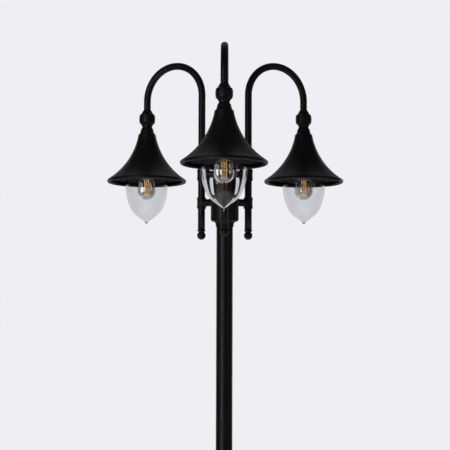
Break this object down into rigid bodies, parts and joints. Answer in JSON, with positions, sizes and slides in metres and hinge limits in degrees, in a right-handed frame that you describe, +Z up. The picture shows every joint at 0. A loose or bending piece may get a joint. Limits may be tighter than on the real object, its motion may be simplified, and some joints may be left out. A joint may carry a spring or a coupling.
{
  "type": "triple head lamp post",
  "caption": "Tall black garden lamp post with swan-neck arms from a central hub, each carrying a trumpet shade, a clear acorn glass and a filament bulb.",
  "frame": {"origin": "on the ground at the post's axis, the centre of the foot's bolt circle", "axes": "+Z up along the post; the front arm points along -Y, the others 120 degrees to each side of it"},
  "size_m": [0.747, 0.6805, 2.4],
  "materials": {
    "cast_paint": "satin black powder coat on cast aluminium",
    "tube_paint": "satin black powder coat on drawn tube",
    "spun_paint": "satin black powder coat on spun aluminium",
    "screw_steel": "blackened stainless steel",
    "bare_steel": "zinc-plated steel",
    "block_plastic": "moulded off-white terminal block",
    "lead_rubber": "rubber-sheathed flexible lead",
    "gasket_rubber": "matt black gasket rubber",
    "lampholder_ceramic": "glazed dark ceramic lampholder",
    "cap_brass": "nickel-plated brass screw cap",
    "filament": "amber phosphor filament rods on a glass stem",
    "lantern_glass": "clear blown glass",
    "bulb_glass": "clear thin bulb glass"
  },
  "bodies": {
    "root": {"base_casting": "cast_paint", "base_grub_screws": "screw_steel", "post_lower_tube": "tube_paint", "post_joint_sleeve": "bare_steel", "post_joint_screws": "screw_steel", "post_upper_tube": "tube_paint", "hub_casting": "cast_paint", "hub_grub_screws": "screw_steel", "terminal_plate": "bare_steel", "terminal_block": "block_plastic", "hub_cap": "cast_paint", "bracket_grub_screws": "screw_steel", "knuckle_grub_screws": "screw_steel", "arm_leads": "lead_rubber", "stem_nipples": "bare_steel", "stem_locknuts": "bare_steel", "bulb_filaments": "filament", "bracket_lower_front": "cast_paint", "bracket_upper_front": "cast_paint", "arm_tube_front": "tube_paint", "arm_finial_front": "cast_paint", "knuckle_front": "cast_paint", "shade_cap_front": "cast_paint", "shade_front": "spun_paint", "lampholder_front": "lampholder_ceramic", "glass_gallery_front": "spun_paint", "bulb_glass_front": "bulb_glass", "bulb_cap_front": "cap_brass", "bracket_lower_right": "cast_paint", "bracket_upper_right": "cast_paint", "arm_tube_right": "tube_paint", "arm_finial_right": "cast_paint", "knuckle_right": "cast_paint", "shade_cap_right": "cast_paint", "shade_right": "spun_paint", "lampholder_right": "lampholder_ceramic", "glass_gallery_right": "spun_paint", "bulb_glass_right": "bulb_glass", "bulb_cap_right": "cap_brass", "bracket_lower_left": "cast_paint", "bracket_upper_left": "cast_paint", "arm_tube_left": "tube_paint", "arm_finial_left": "cast_paint", "knuckle_left": "cast_paint", "shade_cap_left": "cast_paint", "shade_left": "spun_paint", "lampholder_left": "lampholder_ceramic", "glass_gallery_left": "spun_paint", "bulb_glass_left": "bulb_glass", "bulb_cap_left": "cap_brass"},
    "glass_unit_front": {"glass_front": "lantern_glass", "gasket_front": "gasket_rubber"},
    "ring_front": {"glass_ring_front": "cast_paint"},
    "glass_unit_right": {"glass_right": "lantern_glass", "gasket_right": "gasket_rubber"},
    "ring_right": {"glass_ring_right": "cast_paint"},
    "glass_unit_left": {"glass_left": "lantern_glass", "gasket_left": "gasket_rubber"},
    "ring_left": {"glass_ring_left": "cast_paint"}
  },
  "joints": [
    {"name": "glass_lower_front", "type": "slide", "parent": "root", "child": "glass_unit_front", "axis": [0, 0, -1], "range_m": [0, 0.006]},
    {"name": "ring_unscrew_front", "type": "hinge", "parent": "glass_unit_front", "child": "ring_front", "pos_m": [0, -0.287, 2.063], "axis": [0, 0, -1], "range_deg": [0, 360]},
    {"name": "glass_lower_right", "type": "slide", "parent": "root", "child": "glass_unit_right", "axis": [0, 0, -1], "range_m": [0, 0.006]},
    {"name": "ring_unscrew_right", "type": "hinge", "parent": "glass_unit_right", "child": "ring_right", "pos_m": [0.24855, 0.1435, 2.063], "axis": [0, 0, -1], "range_deg": [0, 360]},
    {"name": "glass_lower_left", "type": "slide", "parent": "root", "child": "glass_unit_left", "axis": [0, 0, -1], "range_m": [0, 0.006]},
    {"name": "ring_unscrew_left", "type": "hinge", "parent": "glass_unit_left", "child": "ring_left", "pos_m": [-0.24855, 0.1435, 2.063], "axis": [0, 0, -1], "range_deg": [0, 360]}
  ],
  "couplings": [
    {"joint": "glass_lower_front", "follows": "ring_unscrew_front", "m_per_rad": 0.00095493},
    {"joint": "glass_lower_right", "follows": "ring_unscrew_right", "m_per_rad": 0.00095493},
    {"joint": "glass_lower_left", "follows": "ring_unscrew_left", "m_per_rad": 0.00095493}
  ]
}
